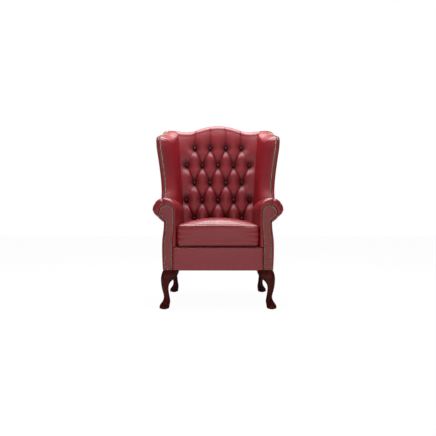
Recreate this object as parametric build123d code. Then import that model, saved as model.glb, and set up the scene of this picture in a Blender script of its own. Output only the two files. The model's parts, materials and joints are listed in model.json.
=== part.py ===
from build123d import *
import math
import os

# A leather wing chair with scroll arms, a deep buttoned back and cabriole legs.
# Millimetres. X runs to the sitter's left as seen from the front, -Y is the front, +Z is up.
# The model is drawn with the base's front face at Y = 0 and moved to its own origin at the end.

# Whole chair
total_height = 1095
base_width = 590
base_depth = 597
leg_height = 206
rake_angle = 8.9
cut_overrun = 60

# Cabriole legs and what holds them
leg_block = 83
leg_corner_share = 0.06
leg_round_share = 0.46
bolt_diameter = 8
bolt_inset = 58
bolt_in_leg = 24
bolt_in_block = 34
glide_diameter = 26
glide_thickness = 4
# height along the leg, reach past the base corner, width: as shares of leg height and leg block
leg_shares = [
    (0.00, 0.207, 0.58, leg_round_share),
    (0.06, 0.222, 0.64, leg_round_share),
    (0.12, 0.150, 0.59, leg_round_share),
    (0.18, 0.045, 0.50, leg_round_share),
    (0.27, -0.035, 0.39, leg_round_share),
    (0.41, 0.008, 0.38, leg_round_share),
    (0.53, 0.078, 0.43, leg_round_share),
    (0.63, 0.115, 0.51, 0.42),
    (0.73, 0.138, 0.71, 0.34),
    (0.83, 0.130, 0.98, 0.22),
    (0.92, 0.080, 1.05, 0.12),
    (1.00, 0.000, 1.00, leg_corner_share),
]

# Seat frame
rail_height = 110
rail_thickness = 26
border_pad = 14
border_edge = 3
border_rise = 14
corner_block_side = 58
corner_block_height = 40
skin_thickness = 6
lower_arm_rail_height = 29

# Seat suspension and platform
spring_wire = 3.6
spring_count = 5
spring_pitch = 26
spring_half_swing = 16
clip_length = 18
clip_foot = 6
clip_width = 46
clip_thickness = 2
tie_wire = 2.4
tie_count = 2
deck_thickness = 12.7
dust_cover_thickness = 1
dust_cover_inset = 8
staple_width = 11
staple_wire = 1.2
staple_pitch = 52

# Arms: a roll over a rail, with a scroll board behind the nailed facing
arm_inner_x = 222
arm_pad_thickness = 36
scroll_radius = 63
scroll_x = 285
scroll_rise = 325
roll_front_y = 6
roll_front_round = 24
arm_rail_width = 46
arm_rail_height = 26
stump_thickness = 24
facing_thickness = 8
facing_front_y = 4
facing_head_radius = 41
facing_head_x = 278
facing_head_drop = 16
facing_underside = 33.4
facing_outer_low_x = 290
facing_inner_low_x = 245
facing_outer_neck_x = 281
facing_inner_neck_x = 237
facing_waist_rise = 159
facing_neck_drop = 86
facing_hem = 2

# Close nails
nail_diameter = 9.6
nail_rise = 3.2
nail_pitch = 11
nail_inset = 6
nail_seat = 0.25

# Back frame and the deep buttoned pad
post_depth = 36
post_width = 34
post_outer_low_x = 284
post_outer_mid_x = 292
side_spread_share = 0.093
post_shift_drop = 51
post_top_drop = 64
crest_rail_height = 96
crest_rail_cover = 26
crest_drop = 43
lower_back_rail_height = 52
lower_back_rail_rise = 8
webbing_thickness = 1.6
webbing_width = 50
webbing_rows = 5
webbing_columns = 4
back_skin = 8
pad_base = 42
tuft_height = 36
button_spacing = 102
top_row_from_crest = 163
low_row_rise = 142.6
button_rows = 5
top_row_buttons = 4
button_diameter = 22
button_rise = 8
button_rim = 3
button_clearance = 3
twine_diameter = 2
twine_clearance = 0.4
crease_gap = 1.6
crest_round_front = 24
tuft_edge = 6
back_rear_cover = 12
back_outer_foot_x = 311
pad_spread_share = 0.0933
pad_top_spread_share = 0.1184
back_mid_drop = 195
# x as shares of the half width at the crest, drop as shares of the crest drop
crest_shares = [(0.21, 0.11), (0.41, 0.45), (0.58, 0.76), (0.78, 0.96), (1.00, 1.00)]
# tuft sections: height share and how much of the outline is left
tuft_shares = [(0.00, 1.00), (0.34, 0.93), (0.68, 0.78), (0.90, 0.56), (1.00, 0.30)]

# Wings, drawn in their own plane: u runs back along the wing, v up it, w inward from the board
wing_setback = 123
wing_foot_rise = 69
wing_board_x = 318
wing_lean = 0.1225
wing_flare = 0.215
wing_board = 20
wing_edge_cover = 4
wing_outer_pad = 16
wing_pad_front = 26
wing_pad_rear = 74
wing_pad_crown = 12
wing_nail_share = 0.1
wing_length = 283
wing_top_drop = 25
wing_skirt = 70
# front edge of the wing, as shares of its length and its height, from the arm upward
wing_edge_shares = [
    (-0.150, -0.149),
    (-0.110, 0.000),
    (-0.010, 0.147),
    (0.028, 0.319),
    (0.010, 0.530),
    (-0.020, 0.701),
    (0.000, 0.804),
    (0.050, 0.855),
    (0.120, 0.873),
    (0.340, 0.901),
    (0.530, 0.951),
    (0.700, 0.992),
]
wing_top_rear_share = 0.76
wing_seat_share = 0.55

# Loose seat cushion
cushion_clearance = 2
cushion_front_y = 3
cushion_rear_gap = 72
cushion_seat_gap = 0.3
cushion_side_height = 112
cushion_crown = 37
cushion_side_bulge = 5
cushion_waist_draw = 4
cushion_cover = 2
cushion_core_gap = 0.3
# distance along the depth, crown, draw-in and trim at the end: all as shares
cushion_shares = [
    (0.000, 0.06, 0.9, 0.90),
    (0.035, 0.34, 0.2, 0.985),
    (0.250, 0.86, 0.8, 1.0),
    (0.500, 1.00, 1.0, 1.0),
    (0.750, 0.86, 0.8, 1.0),
    (0.965, 0.34, 0.2, 0.985),
    (1.000, 0.06, 0.9, 0.90),
]
zip_length = 380
zip_tape_width = 26
zip_tape_thickness = 1
zip_teeth_width = 5
zip_teeth_thickness = 1.4
zip_slider_width = 10
zip_slider_length = 14
zip_slider_wall = 1.2
zip_clearance = 0.35
zip_end_land = 6

# Sizes that follow from the driving ones
scroll_z = leg_height + scroll_rise
facing_head_z = scroll_z - facing_head_drop
facing_neck_z = scroll_z - facing_neck_drop
facing_waist_z = leg_height + facing_waist_rise
post_front_y = base_depth - post_depth - back_skin
post_shift_z = scroll_z - post_shift_drop
wing_front_y = post_front_y - wing_setback
wing_foot_z = scroll_z + wing_foot_rise
wing_height = total_height - wing_top_drop - wing_foot_z
wing_seat_z = scroll_z + scroll_radius * wing_seat_share
back_mid_z = total_height - back_mid_drop
crest_low_z = total_height - crest_drop
post_top_z = total_height - post_top_drop
post_outer_top_x = post_outer_mid_x + (post_top_z - wing_foot_z) * side_spread_share
back_outer_top_z = crest_low_z - back_rear_cover
back_outer_top_x = back_outer_foot_x + (back_outer_top_z - wing_foot_z) * side_spread_share
back_half_mid = arm_inner_x + (back_mid_z - wing_foot_z) * pad_spread_share
back_half_top = back_half_mid + (crest_low_z - back_mid_z) * pad_top_spread_share
cap_half = post_outer_top_x + wing_edge_cover
cushion_depth = post_front_y - cushion_rear_gap - cushion_front_y
rake = math.radians(rake_angle)
rail_top_z = leg_height + rail_height
deck_bottom_z = rail_top_z + spring_wire + tie_wire
deck_top_z = deck_bottom_z + deck_thickness
half_base = base_width / 2
panel_inner_x = half_base - skin_thickness
cushion_z = deck_top_z + cushion_seat_gap
crest_length = (total_height - deck_top_z) / math.cos(rake)
button_row_pitch = (crest_length - top_row_from_crest - low_row_rise) / (button_rows - 1)
facing_back_y = facing_front_y + facing_thickness
stump_back_y = facing_back_y + stump_thickness
tuft_plane = webbing_thickness * 2 + pad_base
back_face_w = -post_depth - back_skin
toe_reach = leg_block * max(reach for height, reach, width, round_share in leg_shares)
crest_rear_y = post_front_y + crest_length * math.sin(rake) - back_face_w * math.cos(rake)
origin_y = (crest_rear_y - toe_reach) / 2

back_plane = Plane(
    origin=(0, post_front_y, deck_top_z),
    x_dir=(1, 0, 0),
    z_dir=(0, -math.cos(rake), math.sin(rake)),
)
wing_plane = Plane(
    origin=(-wing_board_x, wing_front_y, wing_foot_z),
    x_dir=(wing_flare, 1, 0),
    z_dir=(1, -wing_flare, wing_lean),
)

nodes = {}


def slab(x_low, x_high, y_low, y_high, z_low, z_high):
    """A box between six planes."""
    size = (x_high - x_low, y_high - y_low, z_high - z_low)
    middle = ((x_low + x_high) / 2, (y_low + y_high) / 2, (z_low + z_high) / 2)
    return Pos(*middle) * Box(*size)


def across(points, low, high):
    """An outline given in Y and Z, run along X."""
    outline = Plane.YZ * make_face(Polyline(*points, close=True))
    return Pos(low, 0, 0) * extrude(outline, high - low)


def along(face_xz, low, high):
    """A face drawn in X and Z, run backward along Y."""
    run = extrude(Plane.XZ * face_xz, low - high)
    return Pos(0, low, 0) * run


def both_sides(name, piece):
    """The piece on the left of the picture and its mirror image on the right."""
    nodes[name + "_left"] = piece
    mirrored = [mirror(solid, about=Plane.YZ) for solid in piece.solids()]
    nodes[name + "_right"] = mirrored[0] if len(mirrored) == 1 else Compound(mirrored)


def back_line(offset, top_z):
    """Points of the bent line of the back, a given distance behind the front of the posts."""
    kink_z = deck_top_z - offset * math.tan(rake / 2)
    run = (top_z - kink_z) * math.tan(rake)
    low = (post_front_y + offset, leg_height)
    return [low, (post_front_y + offset, kink_z), (post_front_y + offset + run, top_z)]


def crest_curve(half_width, top_v):
    """The serpentine line of the crest in the plane of the back."""
    right = [(half_width * x, top_v - crest_drop * drop) for x, drop in crest_shares]
    left = [(-x, v) for x, v in reversed(right)]
    return Spline(*left, (0, top_v), *right)


def back_edge(v):
    """Half the width of the buttoned pad at a place up the slope."""
    mid_v = (back_mid_z - deck_top_z) / math.cos(rake)
    foot_v = (wing_foot_z - deck_top_z) / math.cos(rake)
    if v <= foot_v:
        return arm_inner_x
    if v <= mid_v:
        return arm_inner_x + (back_half_mid - arm_inner_x) * (v - foot_v) / (mid_v - foot_v)
    top_v = crest_length - crest_drop
    return back_half_mid + (back_half_top - back_half_mid) * (v - mid_v) / (top_v - mid_v)


def back_outline(cover):
    """The pad's outline in the plane of the back, its crest lowered by a cover."""
    top_v = crest_length - cover
    side_v = top_v - crest_drop
    mid_v = (back_mid_z - deck_top_z) / math.cos(rake)
    foot_v = (wing_foot_z - deck_top_z) / math.cos(rake)
    half = back_half_top
    left = Polyline((-half, side_v), (-back_half_mid, mid_v), (-arm_inner_x, foot_v), (-arm_inner_x, 0))
    foot = Line((-arm_inner_x, 0), (arm_inner_x, 0))
    right = Polyline((arm_inner_x, 0), (arm_inner_x, foot_v), (back_half_mid, mid_v), (half, side_v))
    return make_face([crest_curve(half, top_v), left, foot, right])


def placed(face, plane, low, high):
    """A face on a plane, run from one height over the plane to another."""
    return extrude(plane.offset(low) * face, high - low)


def nail_head():
    """One domed nail head, its rim a hair above the leather."""
    dome_radius = (nail_diameter ** 2 / 4 + nail_rise ** 2) / (2 * nail_rise)
    ball = Pos(0, 0, nail_rise - dome_radius) * Sphere(dome_radius)
    head = ball & (Pos(0, 0, nail_rise / 2) * Box(nail_diameter * 2, nail_diameter * 2, nail_rise))
    return Pos(0, 0, nail_seat) * head


# Cabriole legs
def cabriole_leg():
    """The left front leg, on its diagonal, from the floor glide to the base."""
    sections = []
    for height, reach, width, round_share in leg_shares:
        side = width * leg_block
        middle_x = -half_base - reach * leg_block + side / 2
        middle_y = -reach * leg_block + side / 2
        z = glide_thickness + height * (leg_height - glide_thickness)
        sections.append(Pos(middle_x, middle_y, z) * RectangleRounded(side, side, side * round_share))
    return loft(sections)


def corner_copies(piece, middle_y):
    """A piece of the left front corner, repeated at all four corners."""
    right = mirror(piece, about=Plane.YZ)
    middle = Plane.XZ.offset(-middle_y)
    return {
        "front_left": piece,
        "front_right": right,
        "rear_left": mirror(piece, about=middle),
        "rear_right": Pos(0, middle_y * 2, 0) * Rot(0, 0, 180) * piece,
    }


bolt_x = -half_base + bolt_inset
bolt_low_z = leg_height - bolt_in_leg
leg_bolt = Pos(bolt_x, bolt_inset, bolt_low_z) * Cylinder(
    bolt_diameter / 2, bolt_in_leg + bolt_in_block, align=(Align.CENTER, Align.CENTER, Align.MIN)
)
leg = cabriole_leg() - leg_bolt
for place, piece in corner_copies(leg, base_depth / 2).items():
    nodes["leg_" + place] = piece
leg_bolts = list(corner_copies(leg_bolt, base_depth / 2).values())
nodes["leg_bolts"] = Compound(leg_bolts)

foot_side = leg_shares[0][2] * leg_block
foot_x = -half_base - leg_shares[0][1] * leg_block + foot_side / 2
foot_y = -leg_shares[0][1] * leg_block + foot_side / 2
glide = Pos(foot_x, foot_y, 0) * Cylinder(
    glide_diameter / 2, glide_thickness, align=(Align.CENTER, Align.CENTER, Align.MIN)
)
nodes["floor_glides"] = Compound(list(corner_copies(glide, base_depth / 2).values()))

# Seat frame
front_rail_y = border_pad
front_rail_back_y = front_rail_y + rail_thickness
side_rail_x = panel_inner_x - rail_thickness
post_inner_low_x = post_outer_low_x - post_width
rear_rail_back_y = post_front_y + rail_thickness
nodes["front_seat_rail"] = slab(
    -facing_inner_low_x, facing_inner_low_x, front_rail_y, front_rail_back_y, leg_height, rail_top_z
)
nodes["rear_seat_rail"] = slab(
    -post_inner_low_x, post_inner_low_x, post_front_y, rear_rail_back_y, leg_height, rail_top_z
)
both_sides(
    "side_seat_rail",
    slab(-panel_inner_x, -side_rail_x, front_rail_back_y, post_front_y, leg_height, rail_top_z),
)
lower_arm_rail_top_z = rail_top_z + lower_arm_rail_height
both_sides(
    "lower_arm_rail",
    slab(-panel_inner_x, -side_rail_x, front_rail_back_y, post_front_y, rail_top_z, lower_arm_rail_top_z),
)
corner_block = slab(
    -side_rail_x,
    corner_block_side - side_rail_x,
    front_rail_back_y,
    front_rail_back_y + corner_block_side,
    leg_height,
    leg_height + corner_block_height,
)
frame_middle_y = (front_rail_back_y + post_front_y) / 2
blocks = corner_copies(corner_block, frame_middle_y).values()
nodes["corner_blocks"] = Compound([block - leg_bolts for block in blocks])

# Back posts, raked above the seat and spread towards the crest
post_side = back_line(0, total_height) + list(reversed(back_line(post_depth, total_height)))
post_face = make_face(
    Polyline(
        (-post_outer_low_x, leg_height),
        (-post_inner_low_x, leg_height),
        (-post_inner_low_x, post_shift_z),
        (post_width - post_outer_mid_x, wing_foot_z),
        (post_width - post_outer_top_x, post_top_z),
        (-post_outer_top_x, post_top_z),
        (-post_outer_mid_x, wing_foot_z),
        (-post_outer_low_x, post_shift_z),
        close=True,
    )
)
back_post = across(post_side, -total_height, 0) & along(post_face, 0, total_height)
both_sides("back_post", back_post)
posts = [nodes["back_post_left"], nodes["back_post_right"]]


def behind(offset):
    """Everything behind the bent line of the back, a given distance behind the posts' front."""
    line = back_line(offset, total_height + cut_overrun)
    rear_y = base_depth + total_height
    line[0] = (line[0][0], -cut_overrun)
    points = line + [(rear_y, total_height + cut_overrun), (rear_y, -cut_overrun)]
    return across(points, -total_height, total_height)


# Crest rail and lower back rail
rail_reach = post_outer_top_x - post_width / 2
crest_side_v = crest_length - crest_drop - crest_rail_cover
crest_rail_low_v = crest_side_v - crest_rail_height
crest_board = make_face(
    [
        crest_curve(back_half_top, crest_length - crest_rail_cover),
        Polyline(
            (-back_half_top, crest_side_v),
            (-rail_reach, crest_side_v - crest_rail_cover),
            (-rail_reach, crest_rail_low_v),
            (rail_reach, crest_rail_low_v),
            (rail_reach, crest_side_v - crest_rail_cover),
            (back_half_top, crest_side_v),
        ),
    ]
)
nodes["crest_rail"] = placed(crest_board, back_plane, -post_depth, 0) - posts
lower_rail_v = lower_back_rail_rise + lower_back_rail_height / 2
lower_rail = Pos(0, lower_rail_v) * Rectangle(post_inner_low_x * 2, lower_back_rail_height)
nodes["lower_back_rail"] = placed(lower_rail, back_plane, -post_depth, 0) - posts

# Arm stumps: boards with a scroll head, and the leather facing in front of each
facing_plain = Polyline(
    (-facing_outer_low_x, leg_height),
    (-facing_outer_low_x, facing_waist_z),
    (-facing_outer_neck_x, facing_neck_z),
    (-facing_outer_neck_x, facing_head_z),
    (-facing_inner_neck_x, facing_head_z),
    (-facing_inner_neck_x, facing_neck_z),
    (-facing_inner_low_x, facing_waist_z),
    (-facing_inner_low_x, leg_height),
    close=True,
)
below_head = Pos(0, -facing_underside - facing_head_radius) * Rectangle(
    facing_head_radius * 4, facing_head_radius * 2
)
facing_head = Circle(facing_head_radius) - Rot(0, 0, -45) * below_head
facing_face = make_face(facing_plain) + Pos(-facing_head_x, facing_head_z) * facing_head
stump = along(facing_face, facing_back_y, stump_back_y)
stump_clear = slab(
    -total_height, -panel_inner_x, 0, total_height, 0, scroll_z - scroll_radius
)
both_sides("arm_stump", stump - stump_clear)
facing = along(facing_face, facing_front_y, facing_back_y)
both_sides("arm_facing", facing)

# Arm rails, the roll and the inside pad of each arm
arm_rail = slab(
    -scroll_x - arm_rail_width / 2,
    arm_rail_width / 2 - scroll_x,
    stump_back_y,
    base_depth,
    scroll_z - arm_rail_height / 2,
    scroll_z + arm_rail_height / 2,
)
arm_rail = arm_rail - behind(0)
both_sides("arm_rail", arm_rail)

webbing_front = webbing_thickness * 2
scroll_face = Pos(-scroll_x, scroll_z) * Circle(scroll_radius)
roll_long = along(scroll_face, roll_front_y, base_depth + leg_block)
roll_edge = roll_long.edges().filter_by(GeomType.CIRCLE).sort_by(Axis.Y)[0]
roll_long = fillet(roll_edge, roll_front_round)
arm_slab = slab(
    -arm_inner_x - arm_pad_thickness, -arm_inner_x, roll_front_y, base_depth, deck_top_z, scroll_z
)
slab_edges = arm_slab.edges().filter_by(Axis.Z).group_by(Axis.Y)[0].sort_by(Axis.X)
arm_slab = fillet(slab_edges[-1], roll_front_round / 2)
roll_rear = (roll_long & behind(-webbing_front)) - behind(post_depth)
beside_post = slab(-post_outer_mid_x, 0, 0, base_depth + total_height, 0, total_height)
arm_pad = (roll_long + arm_slab) - behind(-webbing_front) + (roll_rear - beside_post)
facing_pocket = along(facing_face, 0, stump_back_y)
arm_pad = arm_pad - facing_pocket - arm_rail - nodes["lower_arm_rail_left"]
both_sides("arm_pad", arm_pad)

# Outside panel of each arm, from the underside of the roll to the foot of the rails
panel_top_z = scroll_z - scroll_radius
arm_panel = slab(
    -half_base, -panel_inner_x, facing_back_y, base_depth, leg_height, panel_top_z
)
both_sides("arm_outer_panel", arm_panel - behind(post_depth) - facing_pocket)

# Wings
def wing_outline(cover):
    """The wing's outline in its plane, drawn in from its front and top edges by a cover."""
    points = [(wing_length * u + cover, wing_height * v - cover) for u, v in wing_edge_shares]
    top = wing_height - cover
    rear = wing_length + wing_skirt
    foot = (points[0][0], -wing_skirt)
    level = (wing_length * wing_top_rear_share, top)
    rest = Polyline(points[-1], level, (rear, top), (rear, -wing_skirt), foot)
    return make_face([Spline(*points), rest, Line(foot, points[0])])


wing_face = wing_outline(0)
wing_board_face = wing_outline(wing_edge_cover)
below_wing = slab(-total_height, 0, -total_height, total_height * 2, 0, wing_seat_z)
arm_roll = along(scroll_face, -cut_overrun, base_depth + total_height)
board = placed(wing_board_face, wing_plane, -wing_board, 0)
board = board - behind(0) - arm_roll - below_wing
both_sides("wing_frame", board)

outer_low = -wing_board - wing_outer_pad
outer_panel = placed(wing_face, wing_plane, outer_low, -wing_board)
outer_panel = outer_panel - behind(post_depth) - arm_roll - below_wing
both_sides("wing_outer_panel", outer_panel)

pad_near = wing_length * wing_edge_shares[0][0] - cut_overrun
pad_far = wing_length + cut_overrun
pad_top = Line((pad_near, wing_pad_front), (pad_near, -wing_board))
pad_foot = Polyline((pad_near, -wing_board), (pad_far, -wing_board), (pad_far, wing_pad_rear))
pad_bow_u = (pad_near + pad_far) / 2
pad_bow_w = (wing_pad_front + wing_pad_rear) / 2 + wing_pad_crown
pad_skin = ThreePointArc((pad_far, wing_pad_rear), (pad_bow_u, pad_bow_w), (pad_near, wing_pad_front))
pad_section = make_face([pad_top, pad_foot, pad_skin])
section_plane = Plane(
    origin=wing_plane.from_local_coords((0, -wing_skirt - cut_overrun, 0)),
    x_dir=wing_plane.x_dir,
    z_dir=-wing_plane.y_dir,
)
pad_prism = extrude(section_plane * pad_section, -(wing_height + wing_skirt + cut_overrun * 2))
pad_body = placed(wing_face, wing_plane, -wing_board, wing_pad_rear + wing_pad_crown) & pad_prism
back_block = placed(back_outline(0), back_plane, webbing_front, base_depth)
wing_pad = pad_body - placed(wing_board_face, wing_plane, -wing_board, 0)
wing_pad = wing_pad - behind(-webbing_front) - arm_roll - back_block - below_wing
both_sides("wing_inner_pad", wing_pad)

# Crest cover over the top of the frame, and the deep buttoned pad of the back
def crest_height(x):
    """How far the crest lies below its middle at a place across the back."""
    table = [(0, 0)] + crest_shares
    share = min(abs(x) / back_half_top, 1)
    for (x_near, drop_near), (x_far, drop_far) in zip(table, table[1:]):
        if share <= x_far:
            part = (share - x_near) / (x_far - x_near)
            return crest_length - crest_drop * (drop_near + (drop_far - drop_near) * part)
    return crest_length - crest_drop


row_v = [crest_length - top_row_from_crest - button_row_pitch * row for row in range(button_rows)]


def row_buttons(row):
    """Places across the back of the buttons of a row: four and five by turns."""
    count = top_row_buttons + row % 2
    return [button_spacing * (index - (count - 1) / 2) for index in range(count)]


def tuft_outlines():
    """The outlines of the puffs between the creases, in the plane of the back."""
    half = button_spacing / 2
    outer = button_spacing * 1.5
    last = button_rows - 1
    outlines = []
    for row in range(1, last):
        others = row_buttons(row + 1)
        for x in others:
            if abs(x) < outer + half:
                above = (x, row_v[row - 1])
                below = (x, row_v[row + 1])
                outlines.append([(x - half, row_v[row]), above, (x + half, row_v[row]), below])
    for x in (-button_spacing, 0, button_spacing):
        near = (x - half, crest_height(x - half) - crest_round_front)
        far = (x + half, crest_height(x + half) - crest_round_front)
        outlines.append([(x - half, row_v[0]), near, far, (x + half, row_v[0]), (x, row_v[1])])
        peak = (x, row_v[last - 1])
        low = [(x - half, 0), (x - half, row_v[last]), peak, (x + half, row_v[last]), (x + half, 0)]
        outlines.append(low)
    for side in (-1, 1):
        top = crest_height(back_half_top) - crest_round_front
        edge_top = (side * (back_half_top - tuft_edge), top)
        outer_top = (side * outer, crest_height(outer) - crest_round_front)
        wide = side * (outer + half)
        edges = [(side * (back_edge(v) - tuft_edge), v) for v in row_v]
        outlines.append([(side * outer, row_v[0]), outer_top, edge_top, edges[1], (wide, row_v[1])])
        outlines.append([(wide, row_v[1]), edges[1], edges[3], (wide, row_v[3]), (side * outer, row_v[2])])
        foot = [(side * (arm_inner_x - tuft_edge), 0), (side * outer, 0)]
        outlines.append([(wide, row_v[3]), edges[3]] + foot + [(side * outer, row_v[4])])
    return outlines


def puff(points):
    """One crowned puff of leather between its creases."""
    middle_x = sum(x for x, v in points) / len(points)
    middle_v = sum(v for x, v in points) / len(points)
    sections = []
    for rise, left in tuft_shares:
        ring = [(middle_x + (x - middle_x) * left, middle_v + (v - middle_v) * left) for x, v in points]
        level = tuft_plane - crease_gap + rise * tuft_height
        sections.append(back_plane.offset(level) * make_face(Polyline(*ring, close=True)))
    return loft(sections)


def shrunk(points):
    """An outline drawn in by half the crease on every side."""
    middle_x = sum(x for x, v in points) / len(points)
    middle_v = sum(v for x, v in points) / len(points)
    width = max(x for x, v in points) - min(x for x, v in points)
    left = 1 - 2 * crease_gap / width
    return [(middle_x + (x - middle_x) * left, middle_v + (v - middle_v) * left) for x, v in points]


pad_face = back_outline(0)
pad = placed(pad_face, back_plane, webbing_front, tuft_plane)
cap_side_v = crest_length - crest_drop
cap_face = make_face(
    [
        crest_curve(back_half_top, crest_length),
        Polyline(
            (-back_half_top, cap_side_v),
            (-cap_half, cap_side_v),
            (-cap_half, cap_side_v - crest_rail_cover),
            (cap_half, cap_side_v - crest_rail_cover),
            (cap_half, cap_side_v),
            (back_half_top, cap_side_v),
        ),
    ]
)
cap = placed(cap_face, back_plane, -post_depth, webbing_front)
pad = pad + cap
crest_edges = pad.edges().filter_by(GeomType.BSPLINE).sort_by(Axis.Y)
pad = fillet(crest_edges[0], crest_round_front)
wing_pieces = []
for side in ("left", "right"):
    for kind in ("wing_frame", "wing_outer_panel", "wing_inner_pad"):
        wing_pieces.append(nodes[kind + "_" + side])
pad = pad - wing_pieces - nodes["crest_rail"] - posts
pad = pad + [puff(shrunk(points)) for points in tuft_outlines()]
buttons = []
pits = []
for row, v in enumerate(row_v):
    for x in row_buttons(row):
        seat = back_plane.offset(tuft_plane) * Pos(x, v, 0)
        dome_radius = (button_diameter ** 2 / 4 + button_rise ** 2) / (2 * button_rise)
        dome = Pos(0, 0, button_rim + button_rise - dome_radius) * Sphere(dome_radius)
        button_height = button_rim + button_rise
        trim = Pos(0, 0, button_height / 2) * Cylinder(button_diameter / 2, button_height)
        twine = Pos(0, 0, -pad_base / 2) * Cylinder(twine_diameter / 2, pad_base)
        buttons.append(seat * ((dome & trim) + twine))
        pit = Pos(0, 0, tuft_height / 2) * Cylinder(button_diameter / 2 + button_clearance, tuft_height)
        hole = Pos(0, 0, -pad_base / 2) * Cylinder(twine_diameter / 2 + twine_clearance, pad_base)
        pits.append(seat * (pit + hole))
pad = pad - pits
nodes["back_pad"] = pad
nodes["back_buttons"] = Compound(buttons)

# Webbing across the back frame: rows from post to post, columns from rail to rail
webs = []
web_reach = post_inner_low_x + post_width / 3
web_low_v = lower_back_rail_rise
web_high_v = crest_rail_low_v + crest_rail_height / 2
for index in range(webbing_rows):
    share = (index + 1) / (webbing_rows + 1)
    v = web_low_v + (web_high_v - web_low_v) * share
    strip = Pos(0, v) * Rectangle(web_reach * 2, webbing_width)
    webs.append(placed(strip, back_plane, 0, webbing_thickness))
for index in range(webbing_columns):
    x = button_spacing * (index - (webbing_columns - 1) / 2)
    strip = Pos(x, (web_low_v + web_high_v) / 2) * Rectangle(webbing_width, web_high_v - web_low_v)
    webs.append(placed(strip, back_plane, webbing_thickness, webbing_front))
nodes["back_webbing"] = Compound(webs)

# Outside back: one leather panel from the rails to the crest
skin_lines = back_line(post_depth, total_height) + list(reversed(back_line(-back_face_w, total_height)))
crest_z = total_height - back_rear_cover
right_crest = [(back_half_top * x, crest_z - crest_drop * drop) for x, drop in crest_shares]
left_crest = [(-x, z) for x, z in reversed(right_crest)]
back_side = [
    (back_outer_top_x, back_outer_top_z),
    (back_outer_foot_x, wing_foot_z),
    (half_base, panel_top_z),
    (half_base, leg_height),
]
mirrored_side = [(-x, z) for x, z in reversed(back_side)]
skin_top = Spline(*left_crest, (0, crest_z), *right_crest)
skin_sides = Polyline(right_crest[-1], *back_side, *mirrored_side, left_crest[0])
skin_face = make_face([skin_top, skin_sides])
roll_ends = [Pos(side * scroll_x, scroll_z) * Circle(scroll_radius) for side in (-1, 1)]
skin_face = skin_face + roll_ends
skin_band = across(skin_lines, -total_height, total_height)
nodes["outside_back_panel"] = skin_band & along(skin_face, 0, base_depth + total_height)

# Front border between the facings
border = slab(
    facing_hem - facing_inner_low_x,
    facing_inner_low_x - facing_hem,
    0,
    border_pad,
    leg_height,
    rail_top_z + border_rise,
)
border_edges = border.edges().group_by(Axis.Y)[0].filter_by(Axis.X)
nodes["front_border"] = fillet(border_edges, border_edge)

# Sinuous springs from the front rail to the rear rail, their clips and the tie wires
spring_z = rail_top_z + spring_wire / 2
first_bar_y = front_rail_y + clip_foot + spring_wire
bar_count = round((rear_rail_back_y - clip_foot - spring_wire - first_bar_y) / spring_pitch) + 1
bar_pitch = (rear_rail_back_y - clip_foot - spring_wire - first_bar_y) / (bar_count - 1)


def sinuous_spring(x):
    """One zigzag spring: bars across it, joined by half turns at alternate ends."""
    turn = bar_pitch / 2
    path = []
    side = 1
    for bar in range(bar_count):
        y = first_bar_y + bar * bar_pitch
        near = (x + side * spring_half_swing, y, spring_z)
        path.append(Line((x - side * spring_half_swing, y, spring_z), near))
        if bar < bar_count - 1:
            bend = (x + side * (spring_half_swing + turn), y + turn, spring_z)
            far = (x + side * spring_half_swing, y + bar_pitch, spring_z)
            path.append(ThreePointArc(near, bend, far))
        side = -side
    start = Plane(origin=(x - spring_half_swing, first_bar_y, spring_z), z_dir=(1, 0, 0))
    return sweep(start * Circle(spring_wire / 2), path=Wire(path))


springs = []
clips = []
spring_gap = (side_rail_x - post_width) * 2 / spring_count
for index in range(spring_count):
    x = spring_gap * (index - (spring_count - 1) / 2)
    springs.append(sinuous_spring(x))
    low = x - clip_width / 2
    high = x + clip_width / 2
    foot_z = rail_top_z + spring_wire
    lap_z = foot_z + clip_thickness
    front_foot = slab(low, high, front_rail_y, front_rail_y + clip_foot, rail_top_z, foot_z)
    front_lap = slab(low, high, front_rail_y, front_rail_y + clip_length, foot_z, lap_z)
    rear_foot = slab(low, high, rear_rail_back_y - clip_foot, rear_rail_back_y, rail_top_z, foot_z)
    rear_lap = slab(low, high, rear_rail_back_y - clip_length, rear_rail_back_y, foot_z, lap_z)
    clips.append(front_foot + front_lap)
    clips.append(rear_foot + rear_lap)
nodes["seat_springs"] = Compound(springs)
nodes["spring_clips"] = Compound(clips)
ties = []
for index in range(tie_count):
    bar = round((index + 1) * (bar_count - 1) / (tie_count + 1))
    y = first_bar_y + bar * bar_pitch
    z = rail_top_z + spring_wire + tie_wire / 2
    ties.append(Pos(0, y, z) * Rot(0, 90, 0) * Cylinder(tie_wire / 2, side_rail_x * 2))
nodes["spring_tie_wires"] = Compound(ties)

# Seat platform under the cushion, and the dust cover below the frame
deck = slab(-side_rail_x, side_rail_x, front_rail_back_y, post_front_y, deck_bottom_z, deck_top_z)
deck_front_x = facing_inner_low_x - facing_hem
deck_front = slab(
    -deck_front_x, deck_front_x, front_rail_y, front_rail_back_y, deck_bottom_z, deck_top_z
)
nodes["seat_deck"] = deck + deck_front
cover_x = half_base - dust_cover_inset
cover_low_z = leg_height - dust_cover_thickness
cover_rear_y = base_depth - dust_cover_inset
cover = slab(-cover_x, cover_x, dust_cover_inset, cover_rear_y, cover_low_z, leg_height)
leg_clear = leg_block + dust_cover_inset
leg_square = slab(-half_base, leg_clear - half_base, 0, leg_clear, cover_low_z, leg_height)
nodes["dust_cover"] = cover - list(corner_copies(leg_square, base_depth / 2).values())
staples = []
staple_z = cover_low_z - staple_wire / 2
along_x = half_base - leg_clear - staple_width
along_y = base_depth / 2 - leg_clear - staple_width
staples_x = round(along_x * 2 / staple_pitch)
staples_y = round(along_y * 2 / staple_pitch)
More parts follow.
